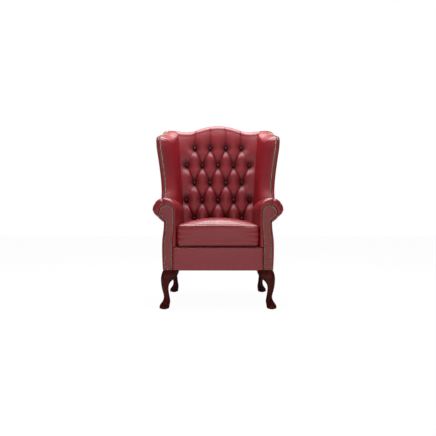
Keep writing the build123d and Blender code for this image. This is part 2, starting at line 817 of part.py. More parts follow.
for index in range(staples_x + 1):
    x = -along_x + along_x * 2 * index / staples_x
    for y in (front_rail_y + rail_thickness / 2, post_front_y + rail_thickness / 2):
        staples.append(Pos(x, y, staple_z) * Box(staple_width, staple_wire, staple_wire))
for index in range(staples_y + 1):
    y = base_depth / 2 - along_y + along_y * 2 * index / staples_y
    for x in (side_rail_x + rail_thickness / 2, -side_rail_x - rail_thickness / 2):
        staples.append(Pos(x, y, staple_z) * Box(staple_wire, staple_width, staple_wire))
nodes["dust_cover_staples"] = Compound(staples)

# Close nails round each facing and down the edge of each wing
nail = nail_head()


def nails_on(wire, facing_dir):
    """Nail heads at an even pitch along a line, each facing the way a function gives."""
    count = round(wire.length / nail_pitch)
    heads = []
    for index in range(count):
        place = wire.position_at(index / count)
        ahead = wire.tangent_at(index / count)
        heads.append(Plane(origin=place, z_dir=facing_dir(ahead)) * nail)
    return heads


facing_line = offset(facing_face, -nail_inset).faces()[0].outer_wire()
facing_line = Pos(0, facing_front_y, 0) * (Plane.XZ * facing_line)
arm_nails = Compound(nails_on(facing_line, lambda ahead: (0, -1, 0)))
both_sides("arm_nails", arm_nails)
wing_points = [(wing_length * u, wing_height * v) for u, v in wing_edge_shares]
wing_top_rear = (wing_length * wing_top_rear_share, wing_height)
wing_line = Wire([Spline(*wing_points), Line(wing_points[-1], wing_top_rear)])
wing_line = wing_plane.offset(-wing_board * wing_nail_share) * wing_line
wing_heads = []
for head_index in range(round(wing_line.length / nail_pitch)):
    share = head_index * nail_pitch / wing_line.length
    place = wing_line.position_at(share)
    ahead = wing_line.tangent_at(share)
    outward = wing_plane.z_dir.cross(ahead)
    above_roll = place.Z > scroll_z + scroll_radius + nail_diameter
    if above_roll:
        wing_heads.append(Plane(origin=place, z_dir=outward) * nail)
both_sides("wing_nails", Compound(wing_heads))


# Loose cushion: a crowned, boxed cover over a foam core, closed by a zip at the rear
def cushion_body(inset):
    """The cushion as a loft of crowned sections, drawn in from its skin by an inset."""
    depth = cushion_depth - inset * 2
    half = arm_inner_x - cushion_clearance - cushion_side_bulge - inset
    sections = []
    for step, crown, draw, trim in cushion_shares:
        side = (cushion_side_height - inset * 2) * trim
        low = cushion_z + inset + (cushion_side_height - inset * 2 - side) / 2
        x = half - cushion_waist_draw * draw
        top = low + side + cushion_crown * crown
        bulge = x + cushion_side_bulge * trim
        outline = [
            Line((-x, low), (x, low)),
            ThreePointArc((x, low), (bulge, low + side / 2), (x, low + side)),
            ThreePointArc((x, low + side), (0, top), (-x, low + side)),
            ThreePointArc((-x, low + side), (-bulge, low + side / 2), (-x, low)),
        ]
        y = cushion_front_y + inset + step * depth
        sections.append(Pos(0, y, 0) * (Plane.XZ * make_face(outline)))
    reach = cushion_depth + cut_overrun
    above_seat = slab(-reach, reach, -reach, reach, cushion_z + inset, total_height)
    return loft(sections) & above_seat


nodes["cushion_cover"] = cushion_body(0) - cushion_body(cushion_cover)
nodes["cushion_core"] = cushion_body(cushion_cover + cushion_core_gap)
cushion_rear_y = cushion_front_y + cushion_depth
zip_z = cushion_z + cushion_side_height / 2
half_zip = zip_length / 2
tape_y = cushion_rear_y + zip_tape_thickness
half_tape = zip_tape_width / 2
tape = slab(-half_zip, half_zip, cushion_rear_y, tape_y, zip_z - half_tape, zip_z + half_tape)
teeth_y = tape_y + zip_teeth_thickness
half_teeth = zip_teeth_width / 2
teeth = slab(-half_zip, half_zip, tape_y, teeth_y, zip_z - half_teeth, zip_z + half_teeth)
nodes["cushion_zip"] = tape + teeth
slider_x = half_zip - zip_end_land - zip_slider_length / 2
slider_rear_y = teeth_y + zip_clearance + zip_slider_wall
slider = slab(
    -slider_x - zip_slider_length / 2,
    zip_slider_length / 2 - slider_x,
    tape_y + zip_clearance,
    slider_rear_y,
    zip_z - zip_slider_width / 2,
    zip_z + zip_slider_width / 2,
)
channel_half = half_teeth + zip_clearance
channel = slab(
    -half_zip, half_zip, tape_y, teeth_y + zip_clearance, zip_z - channel_half, zip_z + channel_half
)
nodes["cushion_zip_slider"] = slider - channel
print("zip slider travel", slider_x * 2)

os.makedirs("parts", exist_ok=True)
for name, piece in nodes.items():
    export_step(Pos(0, -origin_y, 0) * piece, "parts/" + name + ".step")
    box = piece.bounding_box()
    print(name, len(piece.solids()), round(piece.volume), box.min, box.max)
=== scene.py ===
# %% [markdown]
# # A wing chair in deep buttoned leather
# A wing chair is a hardwood frame with stuffing and leather stretched over it. The wood, the nails,
# the springs and the zip have fixed shapes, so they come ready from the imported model. What gives
# way under a hand, the pads and the cushion, is modelled here over the same frame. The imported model
# could also be traced by eye, but loading it keeps every pad where the frame carries it.

# %% Load the fixed frame
import json
import math

import bmesh
import bpy
from mathutils import Matrix, Vector


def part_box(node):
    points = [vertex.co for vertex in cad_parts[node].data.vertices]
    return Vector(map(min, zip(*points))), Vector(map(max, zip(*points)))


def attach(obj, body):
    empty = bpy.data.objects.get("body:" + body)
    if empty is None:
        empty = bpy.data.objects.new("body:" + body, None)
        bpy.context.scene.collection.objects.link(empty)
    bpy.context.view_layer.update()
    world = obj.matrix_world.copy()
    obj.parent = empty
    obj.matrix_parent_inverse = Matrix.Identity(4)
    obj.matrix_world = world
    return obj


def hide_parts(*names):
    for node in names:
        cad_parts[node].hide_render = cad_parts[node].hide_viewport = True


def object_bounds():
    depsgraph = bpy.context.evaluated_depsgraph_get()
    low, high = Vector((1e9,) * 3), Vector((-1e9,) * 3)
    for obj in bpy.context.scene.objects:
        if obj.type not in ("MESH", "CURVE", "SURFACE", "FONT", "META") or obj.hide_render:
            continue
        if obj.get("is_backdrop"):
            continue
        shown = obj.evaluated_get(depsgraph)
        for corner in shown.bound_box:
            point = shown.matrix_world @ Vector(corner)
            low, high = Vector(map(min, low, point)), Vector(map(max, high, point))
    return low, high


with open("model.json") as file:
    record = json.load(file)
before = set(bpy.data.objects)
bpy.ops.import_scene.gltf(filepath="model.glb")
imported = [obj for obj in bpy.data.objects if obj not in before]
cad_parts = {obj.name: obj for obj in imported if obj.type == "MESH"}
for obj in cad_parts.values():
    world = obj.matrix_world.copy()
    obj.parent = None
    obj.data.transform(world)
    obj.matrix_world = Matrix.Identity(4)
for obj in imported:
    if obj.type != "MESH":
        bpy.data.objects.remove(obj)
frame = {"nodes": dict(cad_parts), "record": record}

frame_low, frame_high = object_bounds()
print("the frame is", [round(high - low, 3) for low, high in zip(frame_low, frame_high)], "m")

# %% [markdown]
# ## Where things are
# An upholsterer measures from the frame: the front of the base, the top of the seat platform, and
# the slope of the back. The first two are read from the solids here, the slope and the height are
# those that the frame was drawn with, and every pad below is given from them. The back has its own
# axes: across, up the slope, and out from the webbing. Numbers typed straight into each mesh would
# also work, but a pad would then float when the frame moves.

# %% Read the main places from the solids
front_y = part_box("front_border")[0].y
base_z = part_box("front_border")[0].z
deck_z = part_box("seat_deck")[1].z
half_base = -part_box("arm_outer_panel_left")[0].x
rake = math.radians(8.9)
crest_z = 1.095
back_run = 0.553
back_foot_y = front_y + back_run


def on_back(across, up, out):
    """A point given by its place across the back, up its slope and out from the webbing."""
    y = back_foot_y - out * math.cos(rake) + up * math.sin(rake)
    return Vector((across, y, deck_z + up * math.cos(rake) + out * math.sin(rake)))


print("base front at", round(front_y, 4), "platform at", round(deck_z, 4))

# %% [markdown]
# ## Smooth lines from a few places
# The crest, the wing edges and the arm facings are drawn from patterns: a few marked places joined
# by a sprung batten. A cubic curve through a table of places does the same. A spline object would
# do it too, but a plain function can be asked for its height anywhere, which the pads need.


# %% A batten through a table of places
def batten(table):
    """A smooth line through a table of places and heights."""
    slopes = []
    for index in range(len(table)):
        left = table[max(index - 1, 0)]
        right = table[min(index + 1, len(table) - 1)]
        slopes.append((right[1] - left[1]) / (right[0] - left[0]))

    def height(place):
        index = 0
        while index < len(table) - 2 and place > table[index + 1][0]:
            index += 1
        (near, low), (far, high) = table[index], table[index + 1]
        width = far - near
        share = min(max((place - near) / width, 0), 1)
        left = 1 - share
        line = (1 + 2 * share) * left ** 2 * low + share ** 2 * (3 - 2 * share) * high
        return line + share * left * width * (left * slopes[index] - share * slopes[index + 1])

    return height


def gap_to(point, line):
    """The distance from a point to a line of points, both in a plane."""
    best = 1.0
    for (x0, y0), (x1, y1) in zip(line, line[1:]):
        run_x, run_y = x1 - x0, y1 - y0
        square = run_x * run_x + run_y * run_y
        share = ((point[0] - x0) * run_x + (point[1] - y0) * run_y) / square
        share = min(max(share, 0), 1)
        best = min(best, math.hypot(point[0] - x0 - share * run_x, point[1] - y0 - share * run_y))
    return best


def rolled(gap, radius):
    """How full a pad is at a distance from its edge: a quarter round, then level."""
    left = 1 - min(gap / radius, 1)
    return math.sqrt(1 - left * left)


crest_table = [
    (0, 0), (0.21, 0.13), (0.35, 0.34), (0.485, 0.62), (0.58, 0.81), (0.66, 0.96), (0.75, 1.02),
    (0.85, 1.0), (0.94, 0.93), (1.02, 0.84), (1.12, 0.77), (1.31, 0.72),
]
crest_fall = batten(crest_table)
print("half way along, the crest has fallen by", round(crest_fall(0.5), 2), "of its drop")

# %% [markdown]
# ## Finishes
# Each finish is one procedural material. Shader sums are easier to read as Python sums, so a small
# class wraps a socket, and plus, minus and times on it add Math nodes. Every other node comes from
# one method. The nodes could be wired one call at a time, but then the sums get lost in the wiring.


# %% A socket that can be summed
class Strand:
    """One socket of a finish, with the sums that the finishes use."""

    def __init__(self, tree, socket=None):
        self.tree = tree
        self.socket = socket

    def node(self, kind, settings=None, sockets=None, out=0):
        """Any node: its settings first, then the values or links of its sockets."""
        made = self.tree.nodes.new(kind)
        for name, value in (settings or {}).items():
            if name == "stops":
                for extra in value[2:]:
                    made.color_ramp.elements.new(extra[0])
                for element, (place, colour) in zip(made.color_ramp.elements, value):
                    element.position = place
                    element.color = (*colour, 1)
            else:
                setattr(made, name, value)
        for name, value in (sockets or {}).items():
            if isinstance(value, Strand):
                self.tree.links.new(value.socket, made.inputs[name])
            else:
                made.inputs[name].default_value = value
        return Strand(self.tree, made.outputs[out]) if made.outputs else self

    def sum_of(self, operation, first, second):
        return self.node("ShaderNodeMath", {"operation": operation}, {0: first, 1: second})

    def __add__(self, other):
        return self.sum_of("ADD", self, other)

    __radd__ = __add__

    def __sub__(self, other):
        return self.sum_of("SUBTRACT", self, other)

    def __rsub__(self, other):
        return self.sum_of("SUBTRACT", other, self)

    def __mul__(self, other):
        return self.sum_of("MULTIPLY", self, other)

    __rmul__ = __mul__


def tint(strand, share, first, second):
    """A colour between two, by a share."""
    settings = {"data_type": "RGBA"}
    return strand.node("ShaderNodeMix", settings, {"Factor": share, 6: first, 7: second}, out=2)


def new_finish(name):
    """An empty material, the place on the object, and a way to end it."""
    finish = bpy.data.materials.new(name)
    finish.use_nodes = True
    finish.node_tree.nodes.clear()
    start = Strand(finish.node_tree)
    place = start.node("ShaderNodeTexCoord", out="Object")
    return finish, start, place


def end_finish(start, sockets):
    """The surface itself, joined to the output."""
    surface = start.node("ShaderNodeBsdfPrincipled", {}, sockets)
    start.node("ShaderNodeOutputMaterial", {}, {"Surface": surface})


def stretched(start, place, scale):
    """The place, squeezed or stretched along its axes."""
    return start.node("ShaderNodeMapping", {}, {"Vector": place, "Scale": scale})


print("finishes can be summed")

# %% [markdown]
# ## Leather
# The hide is dyed a deep red and lightly waxed. Close up it has a fine pebbled grain, a soft
# unevenness of the dye and faint stretch lines. Its pits, pleats and seams are darkened with painted
# shade, and made rougher. A photograph of a hide could be wrapped on, but cells and noise in object
# space need no unwrapping and follow the size of the real grain. The painted shade comes from a fold
# attribute that each pad writes on its own mesh.


# %% The leather of the pads
def leather(name, body, deep, grain, polish, shine=0.42):
    finish, start, place = new_finish(name)
    cells = start.node("ShaderNodeTexVoronoi", {"feature": "F1"}, {"Vector": place, "Scale": 620})
    clouds = start.node("ShaderNodeTexNoise", {}, {"Vector": place, "Scale": 9, "Detail": 3})
    fine = start.node("ShaderNodeTexNoise", {}, {"Vector": place, "Scale": 120, "Detail": 4})
    lines = start.node(
        "ShaderNodeTexNoise", {}, {"Vector": place, "Scale": 26, "Detail": 3, "Distortion": 1.4}
    )
    fold = start.node("ShaderNodeAttribute", {"attribute_name": "fold"}, out="Fac")
    shade = start.node("ShaderNodeMapRange", {}, {"Value": clouds, 1: 0.3, 2: 0.7, 3: 0.0, 4: 0.42})
    colour = tint(start, shade + 0.12 * fine, (*body, 1), (*deep, 1))
    # painted shade: the fold attribute darkens the leather in pits, pleats and seams
    colour = tint(start, fold * 0.85, colour, (deep[0] * 0.32, deep[1] * 0.3, deep[2] * 0.3, 1))
    height = cells * grain + fine * (grain * 0.7) + lines * 0.5
    bump = start.node(
        "ShaderNodeBump", {}, {"Height": height, "Strength": 0.32, "Distance": 0.0012}
    )
    rough = polish + 0.14 * fine + 0.5 * fold
    sockets = {"Base Color": colour, "Roughness": rough, "Normal": bump}
    sockets["Specular IOR Level"] = shine
    end_finish(start, sockets)
    return finish


pad_leather = leather("pad_leather", (0.19, 0.0052, 0.011), (0.13, 0.0032, 0.007), 0.5, 0.30)
seat_leather = leather("seat_leather", (0.195, 0.0056, 0.0115), (0.138, 0.0036, 0.0078), 0.6, 0.30)
# a darker copy of the leather for the buttons: painted shade for their deep pits
shaded_button_leather = leather(
    "shaded_button_leather", (0.07, 0.0025, 0.005), (0.04, 0.0015, 0.003), 0.4, 0.22, shine=0.3
)
print("three leathers")

# %% [markdown]
# ## Polished mahogany
# The legs are stained almost black red and varnished, with the grain running down them. Mahogany
# has short dark pores in long ribbons, so noise is squeezed across the leg and stretched along it.
# A thin clear coat on top gives the varnish its reflections. Wave textures draw grain too, but
# they look striped on turned or carved wood.


# %% The show wood and the frame wood
def wood(name, light, dark, stretch, rough, coat):
    finish, start, place = new_finish(name)
    along = stretched(start, place, stretch)
    ribbon = start.node(
        "ShaderNodeTexNoise", {}, {"Vector": along, "Scale": 1, "Detail": 6, "Roughness": 0.6}
    )
    pores = start.node(
        "ShaderNodeTexNoise", {}, {"Vector": along, "Scale": 5, "Detail": 5, "Distortion": 0.4}
    )
    between = [(a + b) / 2 for a, b in zip(light, dark)]
    stops = [(0.36, dark), (0.52, between), (0.7, light)]
    streak = start.node("ShaderNodeValToRGB", {"stops": stops}, {"Fac": ribbon})
    dots = start.node("ShaderNodeMapRange", {}, {"Value": pores, 1: 0.52, 2: 0.68, 3: 0.0, 4: 1.0})
    colour = tint(start, dots * 0.55, streak, (*[value * 0.6 for value in dark], 1))
    bump = start.node(
        "ShaderNodeBump", {}, {"Height": 1 - dots, "Strength": 0.12, "Distance": 0.0004}
    )
    sockets = {"Base Color": colour, "Roughness": rough + 0.12 * pores, "Normal": bump}
    sockets.update({"Coat Weight": coat, "Coat Roughness": 0.12, "Specular IOR Level": 0.06})
    end_finish(start, sockets)
    return finish


mahogany = wood(
    "mahogany", (0.066, 0.0024, 0.0012), (0.013, 0.0005, 0.0003), (42, 42, 5), 0.3, 0.05
)
beech = wood("beech", (0.56, 0.37, 0.21), (0.42, 0.25, 0.13), (60, 60, 7), 0.5, 0.0)
print("two woods")

# %% [markdown]
# ## Antique brass, steel and plastics
# Upholstery nails are brass-plated and browned, so their domes are bright only where they rub.
# Metal is one shader with the metallic value at one, and a noise that trades brass for the brown
# wash. The springs, clips and staples are grey steel. The glides are dark plastic.


# %% Metals and plastic
def metal(name, bright, brown, scale, rough):
    finish, start, place = new_finish(name)
    wash = start.node("ShaderNodeTexNoise", {}, {"Vector": place, "Scale": scale, "Detail": 4})
    share = start.node("ShaderNodeMapRange", {}, {"Value": wash, 1: 0.38, 2: 0.66, 3: 0.0, 4: 1.0})
    colour = tint(start, share, (*bright, 1), (*brown, 1))
    bump = start.node("ShaderNodeBump", {}, {"Height": wash, "Strength": 0.2, "Distance": 0.0003})
    rubbed = rough + 0.25 * share
    end_finish(start, {"Base Color": colour, "Roughness": rubbed, "Normal": bump, "Metallic": 1.0})
    return finish


nail_brass = metal("nail_brass", (0.23, 0.195, 0.135), (0.075, 0.062, 0.044), 260, 0.26)
zip_brass = metal("zip_brass", (0.45, 0.33, 0.17), (0.2, 0.14, 0.07), 200, 0.3)
spring_steel = metal("spring_steel", (0.42, 0.42, 0.43), (0.2, 0.2, 0.21), 90, 0.35)
glide_plastic, glide_start, glide_place = new_finish("glide_plastic")
speck = glide_start.node("ShaderNodeTexNoise", {}, {"Vector": glide_place, "Scale": 300})
glide_colour = tint(glide_start, speck, (0.018, 0.015, 0.013, 1), (0.04, 0.034, 0.03, 1))
end_finish(glide_start, {"Base Color": glide_colour, "Roughness": 0.4 + 0.2 * speck})
print("three metals and a plastic")

# %% [markdown]
# ## Cloths
# Jute webbing, the platform cloth under the cushion, the black dust cover and the zip tape are
# woven. Two sets of fine waves at right angles give the warp and the weft, and their product makes
# the little hollows between threads. An image of a weave would need unwrapping, and these don't.


# %% Woven cloths
def weave(name, light, dark, pitch, turn):
    finish, start, place = new_finish(name)
    turned = start.node("ShaderNodeMapping", {}, {"Vector": place, "Rotation": turn})
    threads = {"Vector": turned, "Scale": pitch, "Distortion": 0.3}
    warp = start.node("ShaderNodeTexWave", {"bands_direction": "X"}, threads)
    weft = start.node("ShaderNodeTexWave", {"bands_direction": "Y"}, threads)
    slub = start.node("ShaderNodeTexNoise", {}, {"Vector": place, "Scale": 40, "Detail": 4})
    thread = warp * weft
    colour = tint(start, thread * 0.7 + slub * 0.3, (*dark, 1), (*light, 1))
    bump = start.node("ShaderNodeBump", {}, {"Height": thread, "Strength": 0.5, "Distance": 0.0006})
    end_finish(start, {"Base Color": colour, "Roughness": 0.8 + 0.15 * slub, "Normal": bump})
    return finish


webbing = weave("webbing", (0.48, 0.35, 0.2), (0.24, 0.16, 0.08), 90, (rake, 0, 0))
platform_cloth = weave("platform_cloth", (0.1, 0.012, 0.014), (0.045, 0.005, 0.006), 160, (0, 0, 0))
dust_cloth = weave("dust_cloth", (0.03, 0.03, 0.032), (0.01, 0.01, 0.011), 200, (0, 0, 0))
zip_tape = weave("zip_tape", (0.14, 0.012, 0.018), (0.07, 0.006, 0.009), 220, (math.pi / 2, 0, 0))
foam, foam_start, foam_place = new_finish("foam")
pocks = foam_start.node("ShaderNodeTexVoronoi", {}, {"Vector": foam_place, "Scale": 500})
foam_colour = tint(foam_start, pocks, (0.5, 0.42, 0.24, 1), (0.78, 0.7, 0.46, 1))
foam_bump = foam_start.node(
    "ShaderNodeBump", {}, {"Height": pocks, "Strength": 0.5, "Distance": 0.001}
)
end_finish(foam_start, {"Base Color": foam_colour, "Roughness": 0.9, "Normal": foam_bump})
print("four cloths and a foam")

# %% [markdown]
# ## The solids that stay
# Legs, glides, rails, springs, nails and the zip already have their real shape, so each only gets
# its finish. The record says which slot every solid has, and the slot picks the finish.

# %% Dress the solids
finishes = {
    "mahogany": mahogany,
    "beech": beech,
    "leather": pad_leather,
    "cushion_leather": seat_leather,
    "nail_brass": nail_brass,
    "webbing": webbing,
    "platform_cloth": platform_cloth,
    "dust_cloth": dust_cloth,
    "foam": foam,
    "spring_steel": spring_steel,
    "glide_plastic": glide_plastic,
    "zip_tape": zip_tape,
    "zip_brass": zip_brass,
}
for part in frame["record"]["subparts"]:
    solid = frame["nodes"][part["node"]]
    finish = finishes[part["material_slot"]]
    # the buttons take the darker leather copy, painted shade for their pits
    if part["node"] == "back_buttons":
        finish = shaded_button_leather
    solid.data.materials.clear()
    solid.data.materials.append(finish)

# %% [markdown]
# ## Sheets of leather
# Every pad starts as a flat grid, as a hide does, and each point of it is then moved to its place
# over the frame. A pad's edge is turned in behind it, so each sheet gets an inner skin, joined to
# it round the rim. Sculpting could give the same forms, but a rule for each point keeps creases
# exactly on their buttons.


# %% Lay a sheet, and keep it as a piece
def added(name, data):
    """A new object in the scene."""
    made = bpy.data.objects.new(name, data)
    bpy.context.scene.collection.objects.link(made)
    return made


def lay_sheet(columns, rows, place):
    """A grid whose points are put in place by their shares across and up."""
    sheet = bmesh.new()
    bmesh.ops.create_grid(sheet, x_segments=columns, y_segments=rows, size=0.5)
    fold = sheet.verts.layers.float.new("fold")
    for point in sheet.verts:
        where, depth = place(point.co.x + 0.5, point.co.y + 0.5)
        point.co = where
        # the fold value marks painted shade in pits and creases, and extra roughness there
        point[fold] = depth
    return sheet


def turn_out(sheet, inside):
    """Turn the faces away from a point inside."""
    sheet.normal_update()
    outward = 0
    for face in sheet.faces:
        outward += face.calc_area() * face.normal.dot(face.calc_center_median() - inside)
    if outward < 0:
        bmesh.ops.reverse_faces(sheet, faces=sheet.faces)


pad_thick, panel_thick = 0.004, 0.003


def stuff_out(sheet, thickness):
    """Give a sheet the thickness of leather and wadding: an inner skin, joined round the rim."""
    inner = bmesh.ops.duplicate(sheet, geom=sheet.faces[:])["geom"]
    sheet.normal_update()
    for point in [item for item in inner if isinstance(item, bmesh.types.BMVert)]:
        point.co -= point.normal * thickness
    skin = [item for item in inner if isinstance(item, bmesh.types.BMFace)]
    bmesh.ops.reverse_faces(sheet, faces=skin)
    bmesh.ops.bridge_loops(sheet, edges=[edge for edge in sheet.edges if edge.is_boundary])


def keep(sheet, name, body, slot, finish, nodes, fill=None, mirrored=False):
    """Make a mesh a piece that rides on a body and stands for its solids, and free the mesh."""
    if mirrored:
        for point in sheet.verts:
            point.co.x = -point.co.x
        bmesh.ops.reverse_faces(sheet, faces=sheet.faces)
    shape = bpy.data.meshes.new(name)
    sheet.to_mesh(shape)
    sheet.free()
    shape.shade_smooth()
    piece = added(name, shape)
    shape.materials.append(finish)
    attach(piece, body)
    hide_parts(*nodes)
    print(name, "has", len(shape.polygons), "faces")
    return piece


def keep_pair(sheet, name, node, fill):
    """A left piece of pad leather on the frame, and its mirror image on the right."""
    other = sheet.copy()
    what = ("root", "leather", pad_leather)
    keep(sheet, name + "_left", *what, [node + "_left"], fill)
    keep(other, name + "_right", *what, [node + "_right"], fill, mirrored=True)


print("sheets can be laid")

# %% [markdown]
# ## The deep buttoned back
# Deep buttoning pulls the leather down to the webbing at every button, with a pleat from each
# button to its neighbours on the slant, so that the stuffing swells up in diamonds. Above the top
# row the pleats run straight up over the crest. The form could be a cloth simulation with pinned
# buttons, which rarely gives clean pleats. Here each point of the sheet sinks by its distance to
# the nearest buttons and pleats, which puts the diamonds exactly where the buttons are.

# %% Buttons and pleats of the back
crest_length = (crest_z - deck_z) / math.cos(rake) - 0.0065
crest_drop = 0.043
half_top = 0.268
button_gap = 0.102
row_gap = 0.116
row_up = [crest_length - 0.163 - row_gap * row for row in range(5)]
row_places = []
for row in range(5):
    odd = row % 2
    row_places.append([button_gap * (index - 1.5 - 0.5 * odd) for index in range(4 + odd)])
buttons = [(across, row_up[row]) for row in range(5) for across in row_places[row]]
pleats = []
for row in range(4):
    for across in row_places[row]:
        for other in row_places[row + 1]:
            if abs(across - other) < button_gap:
                firm = 0.3 if abs(other) > button_gap * 1.8 else 1
                pleats.append(((across, row_up[row]), (other, row_up[row + 1]), firm))
for across in row_places[0]:
    pleats.append(((across, row_up[0]), (across * 1.03, crest_length + 0.15), 0.8))
for across in row_places[4]:
    pleats.append(((across, row_up[4]), (across, -0.1), 1))
print(len(buttons), "buttons and", len(pleats), "pleats")

# %% [markdown]
# The depth at a place is the sum of a pit round each button and a fold along each pleat. Pits add
# up softly, so that no ridge shows half way between two buttons.

# %% How deep the leather is pulled
pit_depth = 0.027
back_full = 0.078
crest_round = 0.036
crest_behind, corner_rise = 0.030, 0.010
half_crest = 0.282
half_back = batten(
    [(0, 0.236), (0.20, 0.236), (0.36, 0.2455), (0.572, 0.264), (0.73, 0.280), (0.80, half_crest)]
)
half_rear = 0.338


def pull(across, up):
    """How far the leather sinks at a place on the back, and its painted shade in pits and pleats."""
    pit = 0
    for x, v in buttons:
        far = max(math.hypot(across - x, (up - v) * 0.86) - 0.010, 0)
        if far < 0.2:
            pit += math.exp(-far / 0.0085)
    pit = pit_depth * pit ** (1 / 2.6)
    near_crest = min(max((up - row_up[0]) / 0.16, 0), 1)
    fold, line = 0, 0
    for start, end, firm in pleats:
        if min(start[1], end[1]) - 0.04 < up < max(start[1], end[1]) + 0.04:
            crease = gap_to((across, up), (start, end))
            soft = (0.0085 - 0.003 * near_crest) * math.exp(-crease / 0.0085)
            fold = max(fold, firm * (soft + 0.0028 * math.exp(-crease / 0.0022)))
            # painted shade: a dark line along each pleat and a dark patch round each button's pit
            line = max(line, 0.7 * firm * math.exp(-crease / 0.0018) * (1 - 0.4 * near_crest))
    return pit + fold, min(1, line + (pit / pit_depth) ** 1.5)


print("at a button the leather sinks by", round(pull(*buttons[0])[0], 4), "m")


# %% The buttoned sheet over the crest
def on_back_sheet(share_across, share_up):
    """A point of the buttoned sheet: up the face, round the crest and down behind it."""
    side = abs(share_across * 2 - 1)
    fall = crest_drop * crest_fall(side * half_crest / half_top)
    top = crest_length - fall
    face = top - crest_round
    bend = crest_round * math.pi / 2
    deck = back_full - crest_round + crest_behind
    way = share_up * (face + bend + deck + 0.016)
    half = half_back(min(way, top))
    across = half * (share_across * 2 - 1)
    edge = half - abs(across)
    depth, dark = pull(across, way)
    soft = 1 - rolled(edge, 0.022)
    if way <= face:
        up, out, turn = way, back_full, 0
    elif way <= face + bend:
        turn = (way - face) / crest_round
        up = face + crest_round * math.sin(turn)
        out = back_full - crest_round * (1 - math.cos(turn))
    elif way <= face + bend + deck:
        turn = math.pi / 2
        out = back_full - crest_round - (way - face - bend)
        reach = min(max((0.026 - out) / 0.020, 0), 1)
        up = top + corner_rise * reach * side ** 6
        across *= 1 + reach * (half_rear / half - 1)
        soft *= 1 + 5 * reach
    else:
        turn = math.pi / 2
        past = way - face - bend - deck
        up = top + corner_rise * side ** 6 - past
        out = -crest_behind - 0.4 * past
        across *= half_rear / half
        soft *= 6
    fade = 1 if turn == 0 else max(1 - 0.45 * turn / (math.pi / 2), 0.2)
    low = min(max((0.115 - up) / 0.05, 0), 1) * 0.004
    lean = min(max((up - face + 0.11) / 0.11, 0), 1) ** 2 * 0.011
    sink = depth * fade + 0.010 * soft * (1 - 0.7 * math.sin(turn)) + low + lean * math.cos(turn)
    up -= sink * math.sin(turn)
    out -= sink * math.cos(turn)
    # the painted shade of pits and pleats is weaker over the crest
    return on_back(across, up, out), dark * (1 if turn == 0 else 0.6)


back_sheet = lay_sheet(212, 330, on_back_sheet)
turn_out(back_sheet, Vector((0, back_foot_y + 1, deck_z)))
stuff_out(back_sheet, pad_thick)
keep(back_sheet, "back_leather", "root", "leather", pad_leather, ["back_pad"], fill=0.8)

# %% [markdown]
# ## The wings
# A wing is a flat board with a thin front edge, and its pad grows thicker towards the back, where
# it meets the buttoned leather in a tight seam. The leather rolls over the front and the top, has
# close nails down that edge, and ends on the outside. The pattern is drawn in the board's own axes:
# back along the wing, up it, and in from the board. The sheet is stretched between four edge lines,
# as a patch, and swells by its distance to the nailed edge. Lofting between sections would work
# too, but the ogee at the top would need many of them.

# %% The wing's board and its edge lines
wing_run = Vector((0.215, 1, 0)).normalized()
wing_in = Vector((1, -0.215, 0.1225)).normalized()
wing_axes = Matrix((wing_run, wing_in.cross(wing_run), wing_in)).transposed()
wing_root = Vector((-0.318, front_y + 0.430, 0.600))
front_high, wing_high = 0.378, 0.470
wing_front = batten([
    (-0.070, -0.042), (0, -0.031), (0.069, -0.003), (0.150, 0.008), (0.249, 0.003),
    (0.330, -0.006), (front_high, 0),
])
wing_top = batten([
    (0, front_high), (0.014, 0.4), (0.034, 0.409), (0.096, 0.423), (0.150, 0.447),
    (0.205, 0.469), (0.24, wing_high), (0.4, wing_high),
])
wing_line = []
for step in range(41):
    up = front_high * step / 40 - 0.07 * (1 - step / 40)
    wing_line.append((wing_front(up), 0.448 * step / 40 - 0.07))
wing_line += [(0.002 * step, wing_top(0.002 * step)) for step in range(1, 140)]


def on_wing(back, up, inward):
    """A point given by its place back along the wing, up it and in from its board."""
    return wing_root + wing_axes @ Vector((back, up, inward))


roll_x, roll_z, roll_radius = -0.288, 0.531, 0.066


def on_roll(x):
    """The height of the arm's roll below a place across the chair."""
    off = min(abs(x - roll_x), roll_radius * 0.98)
    return roll_z + math.sqrt(roll_radius ** 2 - off ** 2)


print("the wing is", round(wing_line[-1][1], 3), "m high over its foot")


# %% The leather inside each wing
def meeting(up):
    """How far back along the wing, and how far in, the back pad is met."""
    share = min(max(up / 0.34, -0.2), 1.4)
    return 0.1325 + 0.0353 * share, 0.0683 + 0.0061 * share


edge_turn, outside_turn, outside_swell = 0.0185, 0.0165, 0.0168
rear_reach = 0.080
wing_rest_z = 0.585


